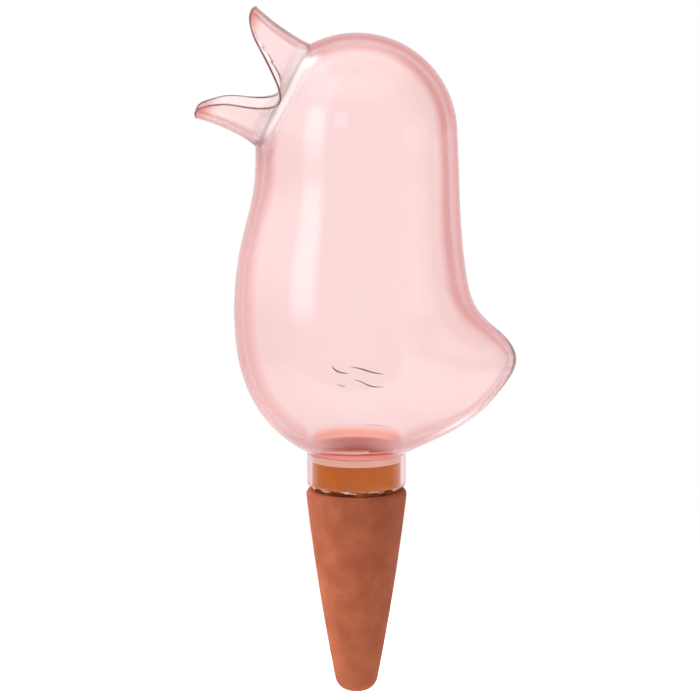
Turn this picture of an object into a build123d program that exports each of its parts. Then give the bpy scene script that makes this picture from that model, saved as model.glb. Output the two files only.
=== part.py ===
"""Bird-shaped watering globe: a clear plastic bird on a porous clay spike.

Millimetres, +Z up. The origin is on the spike's axis at the soil line, which is the
widest level of the clay. The beak points to -X, the tail to +X, and the XZ plane is
the plane of symmetry.
"""

import os
from math import cos, radians, sin, sqrt, tan

from build123d import *

# Bird body
HEAD_RADIUS = 24.9
HEAD_CENTRE_HEIGHT = 90.8
BELLY_FRONT_REACH = 30.4
BELLY_SIDE_REACH = 28.6
BELLY_HEIGHT = 44.0
TAIL_REACH = 39.8
TAIL_HEIGHT = 34.8
BODY_WALL = 2.4
FLOOR_SLOPE = 27.0
# Further points of the body's upright outlines: reach from the axis, height
LOWER_BREAST = [(22.3, 19.0), (28.0, 29.2)]
UPPER_BREAST = [(28.4, 64.5), (25.3, 78.5)]
LOWER_FLANK = [(21.8, 19.0), (26.6, 29.2)]
UPPER_FLANK = [(27.1, 64.5), (25.2, 78.5)]
TAIL_UNDERSIDE = [(28.3, 19.0), (36.4, 27.2)]
TAIL_TOP = [(36.5, 40.6), (32.7, 43.8), (30.2, 46.8)]
BACK = [(27.1, 57.0), (25.6, 74.0)]

# Neck under the body
NECK_RADIUS = 12.35
NECK_WALL = 1.2
NECK_LENGTH = 8.5
NECK_RIM_ROUND = 0.9

# Beak
BEAK_ROOT_RADIUS = 14.2
BEAK_WALL = 1.4
BEAK_PITCH = 28.0
BEAK_TILT = 2.0
BEAK_LENGTH = 20.5
BEAK_LIP_HALF_HEIGHT = 17.0
BEAK_LIP_HALF_WIDTH = 9.0
BEAK_MID_HALF_HEIGHT = 14.45
BEAK_MID_HALF_WIDTH = 12.4
BEAK_RIM_ROUND = 0.4
# Mouth rim seen from the side: distance out from the beak's seat, height over its centre
MOUTH_UPPER_RIM = [(15.0, 17.6), (16.4, 16.2), (16.9, 14.8), (15.9, 12.4), (12.1, 9.0), (5.05, 4.3)]
MOUTH_CORNER = (0.9, -0.8)
MOUTH_LOWER_RIM = [(5.3, -4.8), (12.1, -7.7), (16.2, -10.9), (17.5, -12.8), (17.3, -14.2), (16.0, -15.9)]

# Seal between the neck and the clay
SEAL_FLANGE_THICKNESS = 1.0
SEAL_FLANGE_RADIUS = 11.6
SEAL_SLEEVE_LENGTH = 6.4
SEAL_SLEEVE_WALL = 1.4
RUNNING_CLEARANCE = 0.05

# Clay spike
SPIKE_RADIUS = 12.75
SPIKE_LENGTH = 50.6
SPIKE_SHOULDER = 1.6
SPIKE_SHOULDER_ROUND = 1.5
SPIKE_TIP_RADIUS = 5.0
SPIKE_TIP_ROUND = 4.2
SPIKE_BULGE = 0.45
SPIGOT_BORE_RADIUS = 5.2
SPIGOT_CHAMFER = 0.4
HOLLOW_TIP_RADIUS = 2.8
HOLLOW_TIP_ROUND = 2.0
HOLLOW_TIP_THICKNESS = 6.5

# Heights that follow from the stack of clay, flange and neck
neck_rim_height = SPIKE_SHOULDER + SEAL_FLANGE_THICKNESS
neck_top_height = neck_rim_height + NECK_LENGTH
neck_bore = NECK_RADIUS - NECK_WALL
sleeve_outer = neck_bore - RUNNING_CLEARANCE
sleeve_inner = sleeve_outer - SEAL_SLEEVE_WALL
spigot_radius = sleeve_inner - RUNNING_CLEARANCE
sleeve_top = neck_rim_height + SEAL_SLEEVE_LENGTH

# A quarter of a circle drawn as one cubic curve has its handles this far along
QUARTER = 0.5523
FLOOR_OVERLAP = 4.0
BODY_LEVELS = 26
DOME_LEVELS = 7
DOME_LAST_RISE = 84.0


def upright_line(*knots):
    """Draw one outline of the body in the XZ plane, from inside the neck to over the cheek.

    Args:
        knots: (reach, height) points between the floor and the side of the head.

    Returns:
        The outline as one edge.
    """
    drop = FLOOR_OVERLAP * tan(radians(FLOOR_SLOPE))
    start = (NECK_RADIUS - FLOOR_OVERLAP, neck_top_height - drop)
    junction = (NECK_RADIUS, neck_top_height)
    dome = []
    for rise in (0, 15, 30, 45):
        turn = radians(rise)
        dome.append((HEAD_RADIUS * cos(turn), HEAD_CENTRE_HEIGHT + HEAD_RADIUS * sin(turn)))
    with BuildLine(Plane.XZ) as drawn:
        Spline(start, junction, *knots, *dome)
    return drawn.edge()


def inner_line(outline, wall):
    """Draw the inside of a wall of one thickness that follows an outline.

    Args:
        outline: an edge in the XZ plane that rises all the way.
        wall: thickness taken square to the outline.

    Returns:
        The inside line as one edge.
    """
    steps = 90
    inside = []
    for step in range(steps + 1):
        along = step / steps
        here = outline.position_at(along)
        way = outline.tangent_at(along)
        inside.append((here.X - wall * way.Z, here.Z + wall * way.X))
    with BuildLine(Plane.XZ) as drawn:
        Spline(*inside)
    return drawn.edge()


def reach_at(outline, height):
    """Find how far an outline reaches from the axis at a height.

    Args:
        outline: an edge in the XZ plane that rises all the way.
        height: level above the soil line.

    Returns:
        The reach in millimetres.
    """
    low = 0.0
    high = 1.0
    for _ in range(26):
        middle = (low + high) / 2
        if outline.position_at(middle).Z < height:
            low = middle
        else:
            high = middle
    return outline.position_at((low + high) / 2).X


def body_section(height, front, side, back):
    """Draw one level cut through the body, egg-shaped where the tail stands out.

    Args:
        height: level above the soil line.
        front: reach toward the beak.
        side: half the breadth.
        back: reach toward the tail.

    Returns:
        The section as a sketch.
    """
    share = min(1.0, side / back)
    flank = QUARTER * share
    pinch = QUARTER * share**2
    with BuildSketch(Plane.XY.offset(height)) as drawn:
        with BuildLine():
            Bezier((-front, 0), (-front, side * QUARTER), (-front * QUARTER, side), (0, side))
            Bezier((0, side), (back * flank, side), (back, side * pinch), (back, 0))
            Bezier((back, 0), (back, -side * pinch), (back * flank, -side), (0, -side))
            Bezier((0, -side), (-front * QUARTER, -side), (-front, -side * QUARTER), (-front, 0))
        make_face()
    return drawn.sketch


def body_skin(front, side, back, radius):
    """Stack the sections of one skin of the body, up to the point of its crown.

    Args:
        front: outline toward the beak.
        side: outline of half the breadth.
        back: outline toward the tail.
        radius: radius of the skin's dome.

    Returns:
        Sketches from the floor upward and the crown's vertex, ready to loft.
    """
    floor = front.position_at(0).Z
    stack = []
    for step in range(BODY_LEVELS):
        level = floor + (HEAD_CENTRE_HEIGHT - floor) * step / BODY_LEVELS
        stack.append(body_section(level, reach_at(front, level), reach_at(side, level), reach_at(back, level)))
    for step in range(DOME_LEVELS):
        rise = radians(DOME_LAST_RISE * step / (DOME_LEVELS - 1))
        ring = radius * cos(rise)
        stack.append(body_section(HEAD_CENTRE_HEIGHT + radius * sin(rise), ring, ring, ring))
    return stack + [Vertex(0, 0, HEAD_CENTRE_HEIGHT + radius)]


front_line = upright_line(*LOWER_BREAST, (BELLY_FRONT_REACH, BELLY_HEIGHT), *UPPER_BREAST)
side_line = upright_line(*LOWER_FLANK, (BELLY_SIDE_REACH, BELLY_HEIGHT), *UPPER_FLANK)
back_line = upright_line(*TAIL_UNDERSIDE, (TAIL_REACH, TAIL_HEIGHT), *TAIL_TOP, *BACK)

# Beak placing: the seat is the flat cut through the head that the beak stands on
pitch = radians(BEAK_PITCH)
tilt = radians(BEAK_TILT)
seat_distance = sqrt(HEAD_RADIUS**2 - BEAK_ROOT_RADIUS**2)
forward = Vector(-cos(pitch), 0, sin(pitch))
upward = Vector(sin(pitch), 0, cos(pitch))
seat_centre = Vector(0, 0, HEAD_CENTRE_HEIGHT) + forward * seat_distance
seat = Plane(origin=seat_centre, x_dir=upward, z_dir=forward)
lip_way = forward * cos(tilt) + upward * sin(tilt)
lip_up = upward * cos(tilt) - forward * sin(tilt)
lips = Plane(origin=seat_centre + lip_way * BEAK_LENGTH, x_dir=lip_up, z_dir=lip_way)
half_way = Plane(origin=seat_centre + lip_way * (BEAK_LENGTH / 2), x_dir=lip_up, z_dir=lip_way)
profile = Plane(origin=seat_centre, x_dir=forward, z_dir=(0, 1, 0))
beak_bore = BEAK_ROOT_RADIUS - BEAK_WALL

os.makedirs("parts", exist_ok=True)

# Reservoir: the bird body and its neck, one shell
with BuildPart() as reservoir:
    loft(body_skin(front_line, side_line, back_line, HEAD_RADIUS))
    with BuildSketch(Plane.XZ) as neck_profile:
        with Locations((0, neck_rim_height)):
            Rectangle(NECK_RADIUS, NECK_LENGTH + BODY_WALL / 2, align=(Align.MIN, Align.MIN))
        rim_corner = neck_profile.vertices().group_by(Axis.Y)[0].sort_by(Axis.X)[-1]
        fillet(rim_corner, NECK_RIM_ROUND)
    revolve(axis=Axis.Z)
    inside = [inner_line(line, BODY_WALL) for line in (front_line, side_line, back_line)]
    loft(body_skin(*inside, HEAD_RADIUS - BODY_WALL), mode=Mode.SUBTRACT)
    with BuildSketch(Plane.XY.offset(neck_rim_height)):
        Circle(neck_bore)
    extrude(amount=NECK_LENGTH + 1.3 * BODY_WALL, mode=Mode.SUBTRACT)
    with BuildSketch(seat):
        Circle(HEAD_RADIUS)
    extrude(amount=HEAD_RADIUS, mode=Mode.SUBTRACT)
    with BuildSketch(seat):
        Circle(beak_bore)
    extrude(amount=-2 * BODY_WALL, mode=Mode.SUBTRACT)
reservoir.part.label = "reservoir"
export_step(reservoir.part, "parts/reservoir.step")

# Beak: an open funnel whose side walls are cut back to a mouth
with BuildPart() as beak:
    with BuildSketch(seat):
        Circle(BEAK_ROOT_RADIUS)
    with BuildSketch(half_way):
        Ellipse(BEAK_MID_HALF_HEIGHT, BEAK_MID_HALF_WIDTH)
    with BuildSketch(lips):
        Ellipse(BEAK_LIP_HALF_HEIGHT, BEAK_LIP_HALF_WIDTH)
    loft()
    with BuildSketch(seat):
        Circle(beak_bore)
    with BuildSketch(half_way):
        Ellipse(BEAK_MID_HALF_HEIGHT - BEAK_WALL, BEAK_MID_HALF_WIDTH - BEAK_WALL)
    with BuildSketch(lips):
        Ellipse(BEAK_LIP_HALF_HEIGHT - BEAK_WALL, BEAK_LIP_HALF_WIDTH - BEAK_WALL)
    loft(mode=Mode.SUBTRACT)
    with BuildSketch(profile):
        with BuildLine():
            rim = Spline(*MOUTH_UPPER_RIM, MOUTH_CORNER, *MOUTH_LOWER_RIM)
            low_end = rim @ 1
            high_end = rim @ 0
            below = (low_end.X, -BEAK_LENGTH)
            above = (high_end.X, BEAK_LENGTH)
            Polyline(low_end, below, (2 * BEAK_LENGTH, -BEAK_LENGTH), (2 * BEAK_LENGTH, BEAK_LENGTH), above, high_end)
        make_face()
    extrude(amount=2 * BEAK_ROOT_RADIUS, both=True, mode=Mode.SUBTRACT)
    fillet(beak.faces().filter_by(GeomType.EXTRUSION).edges(), BEAK_RIM_ROUND)
beak.part.label = "beak"
export_step(beak.part, "parts/beak.step")

# Neck seal: a flanged sleeve on the clay spigot, inside the neck
with BuildPart() as neck_seal:
    with BuildSketch(Plane.XZ):
        with Locations((sleeve_inner, SPIKE_SHOULDER)):
            Rectangle(
                SEAL_FLANGE_RADIUS - sleeve_inner, SEAL_FLANGE_THICKNESS, align=(Align.MIN, Align.MIN)
            )
            Rectangle(
                SEAL_SLEEVE_WALL, SEAL_FLANGE_THICKNESS + SEAL_SLEEVE_LENGTH, align=(Align.MIN, Align.MIN)
            )
    revolve(axis=Axis.Z)
    fillet(neck_seal.edges().group_by(Axis.Z)[-1], SEAL_SLEEVE_WALL / 4)
neck_seal.part.label = "neck_seal"
export_step(neck_seal.part, "parts/neck_seal.step")

# Clay spike: a hollow pointed cone with a spigot on its shoulder
with BuildPart() as clay_spike:
    with BuildSketch(Plane.XZ) as spike_profile:
        with BuildLine():
            shoulder = (SPIKE_RADIUS, SPIKE_SHOULDER)
            point = (SPIKE_TIP_RADIUS, -SPIKE_LENGTH)
            Line((0, SPIKE_SHOULDER), shoulder)
            SagittaArc(shoulder, point, SPIKE_BULGE)
            Polyline(point, (0, -SPIKE_LENGTH), (0, SPIKE_SHOULDER))
        make_face()
        fillet(spike_profile.vertices().group_by(Axis.Y)[0].sort_by(Axis.X)[-1], SPIKE_TIP_ROUND)
        fillet(spike_profile.vertices().sort_by(Axis.X)[-1], SPIKE_SHOULDER_ROUND)
    revolve(axis=Axis.Z)
    with BuildSketch(Plane.XY.offset(SPIKE_SHOULDER)):
        Circle(spigot_radius)
    extrude(amount=sleeve_top - SPIKE_SHOULDER)
    chamfer(clay_spike.edges().group_by(Axis.Z)[-1], SPIGOT_CHAMFER)
    with BuildSketch(Plane.XZ) as hollow_profile:
        with BuildLine():
            hollow_end = HOLLOW_TIP_THICKNESS - SPIKE_LENGTH
            Polyline(
                (0, sleeve_top),
                (SPIGOT_BORE_RADIUS, sleeve_top),
                (SPIGOT_BORE_RADIUS, 0),
                (HOLLOW_TIP_RADIUS, hollow_end),
                (0, hollow_end),
                close=True,
            )
        make_face()
        low_corner = hollow_profile.vertices().group_by(Axis.Y)[0].sort_by(Axis.X)[-1]
        fillet(low_corner, HOLLOW_TIP_ROUND)
    revolve(axis=Axis.Z, mode=Mode.SUBTRACT)
clay_spike.part.label = "clay_spike"
export_step(clay_spike.part, "parts/clay_spike.step")
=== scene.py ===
"""Dress the bird-shaped watering globe: clear pink plastic, amber rubber and unglazed clay.

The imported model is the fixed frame, in metres. Each piece is modelled where its solid stands, takes
that solid's place and rides on its body. Sizes in the classes are in millimetres.
"""

import logging
import math
from collections.abc import Iterator, Sequence
from contextlib import contextmanager
from dataclasses import dataclass, field
from enum import Enum

import bmesh
import bpy
import numpy as np
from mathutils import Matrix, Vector


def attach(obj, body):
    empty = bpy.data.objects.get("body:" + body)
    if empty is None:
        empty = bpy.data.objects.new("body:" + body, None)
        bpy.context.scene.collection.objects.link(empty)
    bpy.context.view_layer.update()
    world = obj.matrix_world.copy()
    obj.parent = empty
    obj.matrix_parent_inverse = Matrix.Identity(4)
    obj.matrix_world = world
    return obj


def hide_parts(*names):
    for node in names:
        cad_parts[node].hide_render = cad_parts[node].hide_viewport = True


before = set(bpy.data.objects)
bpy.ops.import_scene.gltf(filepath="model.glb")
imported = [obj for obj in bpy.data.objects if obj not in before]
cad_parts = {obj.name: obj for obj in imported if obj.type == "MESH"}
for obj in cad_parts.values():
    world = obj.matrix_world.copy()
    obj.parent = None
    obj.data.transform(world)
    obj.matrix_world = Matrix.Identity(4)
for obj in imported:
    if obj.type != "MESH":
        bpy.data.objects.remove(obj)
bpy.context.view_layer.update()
log = logging.getLogger("watering_globe")

MM = 0.001
MERGE = 0.0001 * MM
SMOOTH_UNDER = math.radians(38.0)
WHITE = (1.0, 1.0, 1.0, 1.0)

# Settings that many nodes share
EASED = {"interpolation_type": "SMOOTHSTEP"}
COLOURS = {"data_type": "RGBA"}
NUMBERS = {"data_type": "FLOAT"}
TIMES = {"operation": "MULTIPLY"}
MINUS = {"operation": "SUBTRACT"}
TIMES_PLUS = {"operation": "MULTIPLY_ADD"}
UNSIGNED = {"operation": "ABSOLUTE"}
ALONG = {"operation": "DOT_PRODUCT"}

Span = tuple[float, float]
Way = tuple[float, float, float]
Points = Sequence[Span]
Made = tuple[bpy.types.Material, bpy.types.NodeTree, bpy.types.NodeSocket]


class Carrier(Enum):
    """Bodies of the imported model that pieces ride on."""

    SPIKE = "spike"
    SEAL = "seal"
    BIRD = "bird"


class Finish(Enum):
    """Material slots."""

    PLASTIC = "clear_pink_plastic"
    RUBBER = "amber_rubber"
    CLAY = "terracotta"


# Helpers for colours, nodes and meshes


def linear(code: str) -> tuple[float, float, float, float]:
    """Turn an sRGB hex colour into linear light.

    Args:
        code: six hex digits after a hash sign.

    Returns:
        Linear red, green and blue, and full alpha.
    """
    parts = [int(code[at : at + 2], 16) / 255 for at in (1, 3, 5)]
    light = [part / 12.92 if part <= 0.04045 else ((part + 0.055) / 1.055) ** 2.4 for part in parts]
    return (light[0], light[1], light[2], 1.0)


def add_node(
    tree: bpy.types.NodeTree,
    kind: str,
    settings: dict[str, object] | None = None,
    values: dict[str | int, object] | None = None,
    links: dict[str | int, bpy.types.Node | bpy.types.NodeSocket] | None = None,
    stops: Sequence[tuple[float, str]] = (),
) -> bpy.types.Node:
    """Add one node with its settings, socket values, incoming links and colour stops.

    Args:
        tree: node tree to add it to.
        kind: Blender's type name of the node, after ShaderNode.
        settings: properties of the node itself.
        values: constants for input sockets, by name or number.
        links: sockets to join to input sockets, by name or number. A node stands for its first output in use.
        stops: place and hex colour of each stop of a colour ramp.

    Returns:
        The new node.
    """
    node = tree.nodes.new("ShaderNode" + kind)
    for name, value in (settings or {}).items():
        setattr(node, name, value)
    for socket, value in (values or {}).items():
        node.inputs[socket].default_value = value
    for socket, source in (links or {}).items():
        if isinstance(source, bpy.types.Node):
            source = next(output for output in source.outputs if output.enabled)
        tree.links.new(source, node.inputs[socket])
    for at, (position, code) in enumerate(stops):
        node.color_ramp.elements[at].position = position
        node.color_ramp.elements[at].color = linear(code)
    return node


def new_material(name: str) -> Made:
    """Start an empty material.

    Args:
        name: what the material is and how it was made.

    Returns:
        The material, its node tree and the Object coordinates that patterns read.
    """
    material = bpy.data.materials.new(name)
    material.use_nodes = True
    tree = material.node_tree
    tree.nodes.clear()
    return material, tree, add_node(tree, "TexCoord").outputs["Object"]


def pick(*pieces: bpy.types.Object) -> None:
    """Leave edit mode with only these pieces selected and the last of them active."""
    if bpy.context.mode != "OBJECT":
        bpy.ops.object.mode_set(mode="OBJECT")
    bpy.ops.object.select_all(action="DESELECT")
    for piece in pieces:
        piece.select_set(True)
        bpy.context.view_layer.objects.active = piece


@contextmanager
def editing(piece: bpy.types.Object) -> Iterator[None]:
    """Open a piece in edit mode with all of it selected, and close it after."""
    pick(piece)
    bpy.ops.object.mode_set(mode="EDIT")
    bpy.ops.mesh.select_all(action="SELECT")
    yield
    bpy.ops.object.mode_set(mode="OBJECT")


def roll_grid(name: str, rings: np.ndarray, closed: bool = False) -> bpy.types.Object:
    """Roll a flat grid into a skin of rings, closing its seam and any ring that is a single point.

    Args:
        name: name of the piece.
        rings: places in millimetres, by ring, point of the ring and axis.
        closed: whether the last ring joins the first.

    Returns:
        The skin as a mesh object at the origin.
    """
    seamed = np.concatenate([rings, rings[:, :1]], axis=1)
    if closed:
        seamed = np.concatenate([seamed, seamed[:1]], axis=0)
    levels, around = seamed.shape[:2]
    pick()
    bpy.ops.mesh.primitive_grid_add(x_subdivisions=around - 1, y_subdivisions=levels - 1, size=2.0)
    piece = bpy.context.active_object
    piece.name = name
    piece.data.name = name
    flat = np.empty(len(piece.data.vertices) * 3)
    piece.data.vertices.foreach_get("co", flat)
    flat = flat.reshape(-1, 3)
    order = np.lexsort((np.round(flat[:, 0], 5), np.round(flat[:, 1], 5)))
    flat[order] = seamed.reshape(-1, 3) * MM
    piece.data.vertices.foreach_set("co", flat.ravel())
    piece.data.update()
    with editing(piece):
        bpy.ops.mesh.remove_doubles(threshold=MERGE)
        bpy.ops.mesh.normals_make_consistent(inside=False)
    return piece


def dress(
    piece: bpy.types.Object,
    material: bpy.types.Material,
    carrier: Carrier,
    nodes: tuple[str, ...] = (),
) -> None:
    """Smooth a piece, give it its material and tie it to the frame.

    Args:
        piece: the modelled mesh.
        material: its finish.
        carrier: body it rides on.
        nodes: solids that it stands for.
    """
    pick(piece)
    bpy.ops.object.shade_smooth_by_angle(angle=SMOOTH_UNDER)
    piece.data.materials.clear()
    piece.data.materials.append(material)
    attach(piece, carrier.value)
    for node in nodes:
        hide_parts(node)
    edges = bmesh.new()
    edges.from_mesh(piece.data)
    open_edges = sum(1 for edge in edges.edges if not edge.is_manifold)
    edges.free()
    log.info("%s: %d faces, %d open edges", piece.name, len(piece.data.polygons), open_edges)


def smooth_line(knots: Points, steps: int = 1500) -> np.ndarray:
    """Draw a natural cubic line through the points of an outline.

    Args:
        knots: points of the outline, in order.
        steps: how many points to return.

    Returns:
        Points along the line, one row each.
    """
    stops = np.array(knots, float)
    along = np.concatenate(([0.0], np.cumsum(np.linalg.norm(np.diff(stops, axis=0), axis=1))))
    gaps = np.diff(along)
    slopes = np.diff(stops, axis=0) / gaps[:, None]
    system = np.eye(len(stops))
    turns = np.zeros_like(stops)
    for at in range(1, len(stops) - 1):
        system[at, at - 1 : at + 2] = gaps[at - 1], 2 * (gaps[at - 1] + gaps[at]), gaps[at]
        turns[at] = 6 * (slopes[at] - slopes[at - 1])
    bends = np.linalg.solve(system, turns)
    fine = np.linspace(0.0, along[-1], steps)
    span = np.clip(np.searchsorted(along, fine) - 1, 0, len(gaps) - 1)
    after = ((fine - along[span]) / gaps[span])[:, None]
    before = 1 - after
    curve = (before**3 - before) * bends[span] + (after**3 - after) * bends[span + 1]
    return before * stops[span] + after * stops[span + 1] + curve * (gaps[span, None] ** 2) / 6


def offset_line(line: np.ndarray, wall: float) -> np.ndarray:
    """Draw the inside of a wall of one thickness that follows an outline.

    Args:
        line: points of an outline that rises, as reach and height.
        wall: thickness of the wall.

    Returns:
        Points of the inside line.
    """
    way = np.gradient(line, axis=0)
    way /= np.linalg.norm(way, axis=1)[:, None]
    return np.stack([line[:, 0] - wall * way[:, 1], line[:, 1] + wall * way[:, 0]], axis=1)


def reach_at(line: np.ndarray, height: float) -> float:
    """Find how far a rising outline stands from the axis at a height."""
    return float(np.interp(height, line[:, 1], line[:, 0]))


def egg_ring(height: float, front: float, side: float, back: float, around: int) -> np.ndarray:
    """Draw one level section of the bird, drawn out where the tail stands out.

    Args:
        height: level of the section.
        front: reach toward the beak.
        side: half the breadth.
        back: reach toward the tail.
        around: points in the ring, a multiple of four.

    Returns:
        The ring's points, starting at the beak side.
    """
    # Length of the handles with which a cubic curve draws a quarter of a circle
    quarter = 0.5523
    share = side / back if back > side else 1.0
    flank = back * quarter * share
    pinch = side * quarter * share**2
    breast = [(-front, 0), (-front, side * quarter), (-front * quarter, side), (0, side)]
    rump = [(0, side), (flank, side), (back, pinch), (back, 0)]
    t = (np.arange(around // 4) / (around // 4))[:, None]
    weights = np.concatenate([(1 - t) ** 3, 3 * t * (1 - t) ** 2, 3 * t**2 * (1 - t), t**3], axis=1)
    left = np.concatenate([weights @ np.array(breast, float), weights @ np.array(rump, float)])
    right = np.concatenate([np.array([[back, 0.0]]), left[:0:-1]]) * (1, -1)
    ring = np.concatenate([left, right])
    return np.column_stack([ring, np.full(len(ring), height)])


def lathe_rings(profile: Points, around: int) -> np.ndarray:
    """Turn a profile of radius and height points into circular rings."""
    return np.stack([egg_ring(height, reach, reach, reach, around) for reach, height in profile])


def upright(reach: float, levels: Sequence[float]) -> list[Span]:
    """Draw the points of an upright side of a profile."""
    return [(reach, level) for level in levels]


def corner_arc(centre: Span, radius: float, start: float, end: float, steps: int) -> list[Span]:
    """Draw a rounded corner of a profile.

    Args:
        centre: middle of the arc, as radius and height.
        radius: radius of the arc.
        start: first angle in degrees, from outward toward up.
        end: last angle in degrees.
        steps: number of points.

    Returns:
        Points of the arc.
    """
    turns = [math.radians(turn) for turn in np.linspace(start, end, steps)]
    return [(centre[0] + radius * math.cos(turn), centre[1] + radius * math.sin(turn)) for turn in turns]


def thread_rings(path: np.ndarray, size: np.ndarray, facing: np.ndarray, around: int) -> np.ndarray:
    """Draw the rings of a thread that follows a path.

    Args:
        path: points that the thread runs through.
        size: radius of the thread at each point.
        facing: a way that is not along the path, one for all points or one for each.
        around: points in each ring.

    Returns:
        Rings along the thread.
    """
    way = np.gradient(path, axis=0)
    way /= np.linalg.norm(way, axis=1)[:, None]
    out = facing - way * np.sum(way * facing, axis=1)[:, None]
    out /= np.linalg.norm(out, axis=1)[:, None]
    along = np.cross(way, out)
    sides = np.arange(around) * 2 * math.pi / around
    spokes = np.cos(sides)[None, :, None] * out[:, None] + np.sin(sides)[None, :, None] * along[:, None]
    return path[:, None] + spokes * size[:, None, None]


def taper(steps: int, power: float) -> np.ndarray:
    """Swell from nothing to full size and back along a thread, sooner for a smaller power."""
    share = np.sin(np.linspace(0.0, math.pi, steps)) ** power
    share[[0, -1]] = 0.0
    return share


# Finishes


@dataclass(frozen=True)
class BlownPlastic:
    """Clear plastic tinted pink in the mass and blow-moulded.

    The tint deepens with the length of plastic that light crosses. On top of that the surface colour carries
    painted shade: edges seen at a slant and the lips' tips are coloured salmon, and faces stay pale. Low on
    the breast the painted edge is paler, a painted reflection of the bright floor, and the beak adds hardly
    any tint of its own. The mould leaves the wall glossy but faintly wavy, and satin at the belly's floor. A
    trace of haze, most where the wall is pinched at the beak's root and the tail's end and none in the neck,
    keeps the light trapped there from going black.
    """

    name: str = "clear_pink_plastic_blow_moulded"
    tint: str = "#f3655b"
    depth: float = 84.0
    edge: str = "#cb7375"
    edge_span: Span = (0.5, 0.68)
    lit_low_edge: str = "#eebcbf"
    lit_low_way: Way = (0.6, 0.0, 0.8)
    lit_low_span: Span = (26.0, 66.0)
    gloss: float = 0.06
    floor_gloss: float = 0.2
    floor_rise: float = 2.0
    floor_span: Span = (1.5, 4.0)
    neck_top: float = 13.0
    haze: float = 0.02
    haze_fade: float = 6.0
    root_way: Way = (-0.8829, 0.0, 0.4695)
    root_reach: float = 63.1
    root_span: Span = (0.8, 3.6)
    root_haze: float = 0.32
    tail_reach: float = 34.0
    tail_fade: float = 5.0
    tail_haze: float = 0.2
    beak: str = "#fef8f8"
    beak_reach: float = 3.0
    tip: str = "#eba49e"
    tip_reach: float = 12.0
    tip_fade: float = 5.5
    index: float = 1.5
    wave_length: float = 16.0
    wave_height: float = 0.02

    def make(self) -> bpy.types.Material:
        """Build the plastic's node tree."""
        material, tree, place = new_material(self.name)
        noise = {"Scale": 1 / (self.wave_length * MM), "Detail": 1.0}
        wave = add_node(tree, "TexNoise", {}, noise, {"Vector": place})
        relief = {"Strength": 1.0, "Distance": self.wave_height * MM}
        bump = add_node(tree, "Bump", {}, relief, {"Height": wave})
        parts = add_node(tree, "SeparateXYZ", links={"Vector": place}).outputs
        # Reach up toward the tail: low on the breast the painted edge is a pale painted reflection of the
        # floor, higher up it is darker painted shade
        thin = add_node(tree, "VectorMath", ALONG, {1: self.lit_low_way}, {0: place})
        along = add_node(tree, "VectorMath", ALONG, {1: self.root_way}, {0: place})
        gaps = []
        for source, level in ((parts["Z"], self.neck_top + self.floor_rise), (along, self.root_reach)):
            apart = add_node(tree, "Math", MINUS, {1: level * MM}, {0: source})
            gaps.append(add_node(tree, "Math", UNSIGNED, links={0: apart}))
        tip = self.root_reach + self.tip_reach
        eased = []
        for source, (low, high), (start, end) in (
            (thin, self.lit_low_span, (0.0, 1.0)),
            (gaps[0], self.floor_span, (self.floor_gloss, self.gloss)),
            (along, (self.root_reach, self.root_reach + self.beak_reach), (0.0, 1.0)),
            (along, (tip, tip + self.tip_fade), (0.0, 1.0)),
            (gaps[1], self.root_span, (1.0 - self.root_haze, 1.0)),
            (parts["X"], (self.tail_reach, self.tail_reach + self.tail_fade), (1.0, 1.0 - self.tail_haze)),
        ):
            span = {"From Min": low * MM, "From Max": high * MM, "To Min": start, "To Max": end}
            eased.append(add_node(tree, "MapRange", EASED, span, {"Value": source}))
        edge_shade_share, satin, on_beak, on_tip, root, tail = eased
        span = {"From Min": self.neck_top * MM, "From Max": (self.neck_top + self.haze_fade) * MM}
        hazed = {"To Min": 1.0, "To Max": 1.0 - self.haze}
        body = add_node(tree, "MapRange", {}, span | hazed, {"Value": parts["Z"]})
        # Painted shade: the surface colour turns toward the edge colour where the wall is seen at a slant
        slant = add_node(tree, "LayerWeight", values={"Blend": 0.5})
        span = {"From Min": self.edge_span[0], "From Max": self.edge_span[1]}
        slope = add_node(tree, "MapRange", {}, span, {"Value": slant.outputs["Facing"]})
        edges = {6: linear(self.lit_low_edge), 7: linear(self.edge)}
        painted_edge = add_node(tree, "Mix", COLOURS, edges, {0: edge_shade_share})
        tint_and_painted_shade = add_node(tree, "Mix", COLOURS, {6: WHITE}, {0: slope, 7: painted_edge})
        # The beak's faint tint, then painted shade that colours the lips' tips salmon past the tip reach
        for tint, share in ((self.beak, on_beak), (self.tip, on_tip)):
            multiply = COLOURS | {"blend_type": "MULTIPLY"}
            tint_and_painted_shade = add_node(tree, "Mix", multiply, {7: linear(tint)}, {0: share, 6: tint_and_painted_shade})
        ends = add_node(tree, "Math", TIMES, links={0: root, 1: tail})
        clear = add_node(tree, "Math", TIMES, links={0: body, 1: ends})
        skin = {"Normal": bump, "Roughness": satin, "Base Color": tint_and_painted_shade, "Transmission Weight": clear}
        shader = add_node(tree, "BsdfPrincipled", {}, {"IOR": self.index}, skin)
        mass = {"Color": linear(self.tint), "Density": self.depth}
        inside = add_node(tree, "VolumeAbsorption", values=mass)
        add_node(tree, "OutputMaterial", links={"Surface": shader, "Volume": inside})
        return material


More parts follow.
